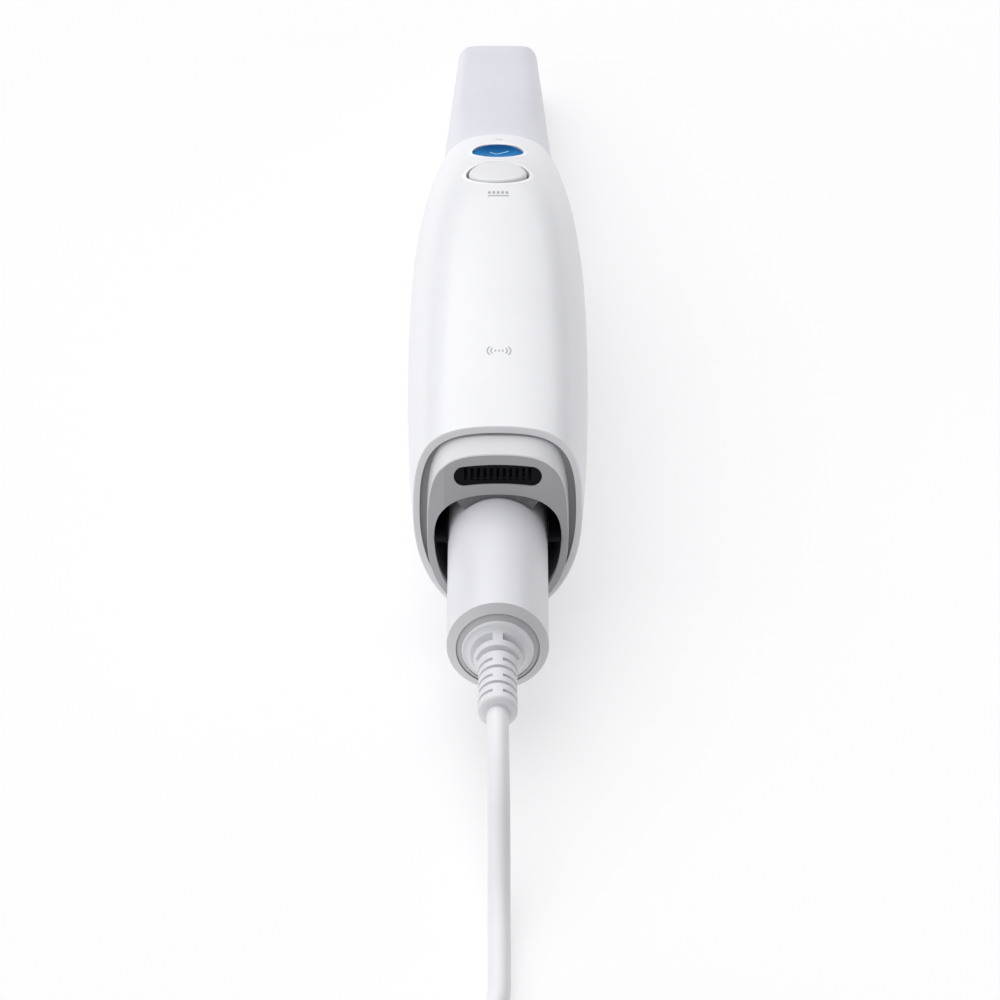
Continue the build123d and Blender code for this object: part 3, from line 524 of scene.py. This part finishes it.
# Check mark in the blue button's dish.
TICK_POINTS, TICK_WIDTH, TICK_SINK = ((-1.85, 1.1), (-0.38, -0.3), (2.7, 1.9)), 0.4, 0.03 * MM
CONTROL_PLACE, CONTROL_LEAN = (0, 60.8, 38.2), 16.0
first, corner, last = TICK_POINTS
tick = [stroke(line(first, corner) + line(corner, last)[1:], TICK_WIDTH)]
printed("mark_tick", tick, nodes["control_button"], leaning(CONTROL_PLACE, CONTROL_LEAN),
        ink_blue, "control_key", sink=TICK_SINK)

# ---- button details -----------------------------------------------------------------------
SCAN_RADIUS, SCAN_ROUND = 7.35, 0.9             # the scan button's cap and its rolled edge
CAP_RINGS = (1, 2, 3, 4, 5, 5.8)                # radii of the rings inside the rolled edge
CAP_FOOT = -3.5                                 # level of the cap's underside
ROUND_PARTS = 8                                 # steps over the rolled edge
AROUND = 96                                     # points in a ring
RAY_HEIGHT = 10
ON_CAP = 0.995                                  # rays stay this far inside the CAD cap's edge
RING_PROFILE = [                                # radius and level, once round the section
    (7.42, -2.25), (7.55, -2.1), (7.72, -2.05), (7.9, -2.1), (8.0, -2.25), (8.0, -3.2),
    (7.42, -3.2),
]
scan_place = leaning((0, 42.6, 42.4), 12.4)


def turned_mesh(name, rows, place):
    """Closed mesh through rings of points in a local frame; a ring of one point closes an end."""
    made = bmesh.new()
    rings = [[made.verts.new(place @ (Vector(p) * MM)) for p in row] for row in rows]
    for first, second in zip(rings, rings[1:]):
        count = max(len(first), len(second))
        for i in range(count):
            m = (i + 1) % count
            if len(first) == 1:
                made.faces.new([first[0], second[i], second[m]])
            elif len(second) == 1:
                made.faces.new([first[i], second[0], first[m]])
            else:
                made.faces.new([first[i], second[i], second[m], first[m]])
    bmesh.ops.recalc_face_normals(made, faces=made.faces)
    for face in made.faces:
        face.smooth = True
    data = bpy.data.meshes.new(name)
    made.to_mesh(data)
    made.free()
    return data


def circle(radius, height):
    """Ring of points; height gives the level at each (x, y)."""
    out = []
    for i in range(AROUND):
        a = 2 * math.pi * i / AROUND
        x, y = radius * math.cos(a), radius * math.sin(a)
        out.append((x, y, height(x, y)))
    return out


# The scan button's cap follows the skin and rolls over all round its edge.
scan_tree = BVHTree.FromObject(nodes["scan_button"], bpy.context.evaluated_depsgraph_get())


def cap_level(x, y):
    """Level of the CAD cap at (x, y), both in the button's own frame."""
    down = scan_place.to_3x3() @ Vector((0, 0, -1))
    reach = ON_CAP * min(1.0, SCAN_RADIUS / max(math.hypot(x, y), 1e-6))
    start = scan_place @ Vector((x * reach * MM, y * reach * MM, RAY_HEIGHT * MM))
    hit = scan_tree.ray_cast(start, down)[0]
    return (scan_place.inverted() @ hit).z / MM


cap_rows = [[(0, 0, cap_level(0, 0))]]
for radius in CAP_RINGS:
    cap_rows.append(circle(radius, cap_level))
for step in range(ROUND_PARTS + 1):
    lean = math.radians(90 * step / ROUND_PARTS)
    radius = SCAN_RADIUS - SCAN_ROUND + SCAN_ROUND * math.sin(lean)
    fall = SCAN_ROUND * (1 - math.cos(lean))
    cap_rows.append(circle(radius, lambda x, y: cap_level(x, y) - fall))
cap_rows.append(circle(SCAN_RADIUS, lambda x, y: CAP_FOOT))
cap_rows.append([(0, 0, CAP_FOOT)])
scan_cap = piece("scan_cap", turned_mesh("scan_cap", cap_rows, scan_place),
                 materials["button_white"], "scan_key")
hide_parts("scan_button")

# Rubber ring low in the gap around the scan button.
ring_rows = [circle(r, lambda x, y: z) for r, z in RING_PROFILE + RING_PROFILE[:1]]
piece("scan_gap_ring", turned_mesh("scan_gap_ring", ring_rows, scan_place),
      materials["seal_rubber"], "handpiece")

# ---- stage and light ----------------------------------------------------------------------
# A white table lit from inside, so that shadows on it stay faint.
FLOOR_HALF = 8                                  # metres
FLOOR_GLOW, SKY_STRENGTH = 0.47, 0.28
SUNS = [                                        # name, direction to it, strength, width in degrees
    ("key", (-0.42, 0.35, 1.0), 1.75, 85),
    ("front", (0.05, 1.0, 0.9), 0.85, 60),
    ("fill", (-0.8, -1.0, 0.25), 0.7, 60),
]

table = Nodes("floor", Roughness=0.9, Emission_Color=(1, 1, 1, 1), Emission_Strength=FLOOR_GLOW)
paper = table.ramp(table.noise(3, 3), (0.50, 0.50, 0.505), (0.51, 0.51, 0.515))
table.link(paper, table.shader.inputs["Base Color"])
corners = [(x * FLOOR_HALF, y * FLOOR_HALF, 0) for x, y in ((-1, -1), (1, -1), (1, 1), (-1, 1))]
floor_mesh = bpy.data.meshes.new("floor")
floor_mesh.from_pydata(corners, [], [(0, 1, 2, 3)])
floor_mesh.materials.append(table.material)
floor = bpy.data.objects.new("floor", floor_mesh)
scene.collection.objects.link(floor)

world = bpy.data.worlds.new("studio")
scene.world = world
world.use_nodes = True
sky = world.node_tree.nodes["Background"]
sky.inputs["Color"].default_value = (0.95, 0.96, 1.0, 1)
sky.inputs["Strength"].default_value = SKY_STRENGTH

for name, toward, strength, width in SUNS:
    light = bpy.data.lights.new(name, "SUN")
    light.energy, light.angle = strength, math.radians(width)
    lamp = bpy.data.objects.new(name, light)
    lamp.rotation_euler = Vector(toward).to_track_quat("Z", "Y").to_euler()
    scene.collection.objects.link(lamp)
scene.view_settings.view_transform = "Standard"
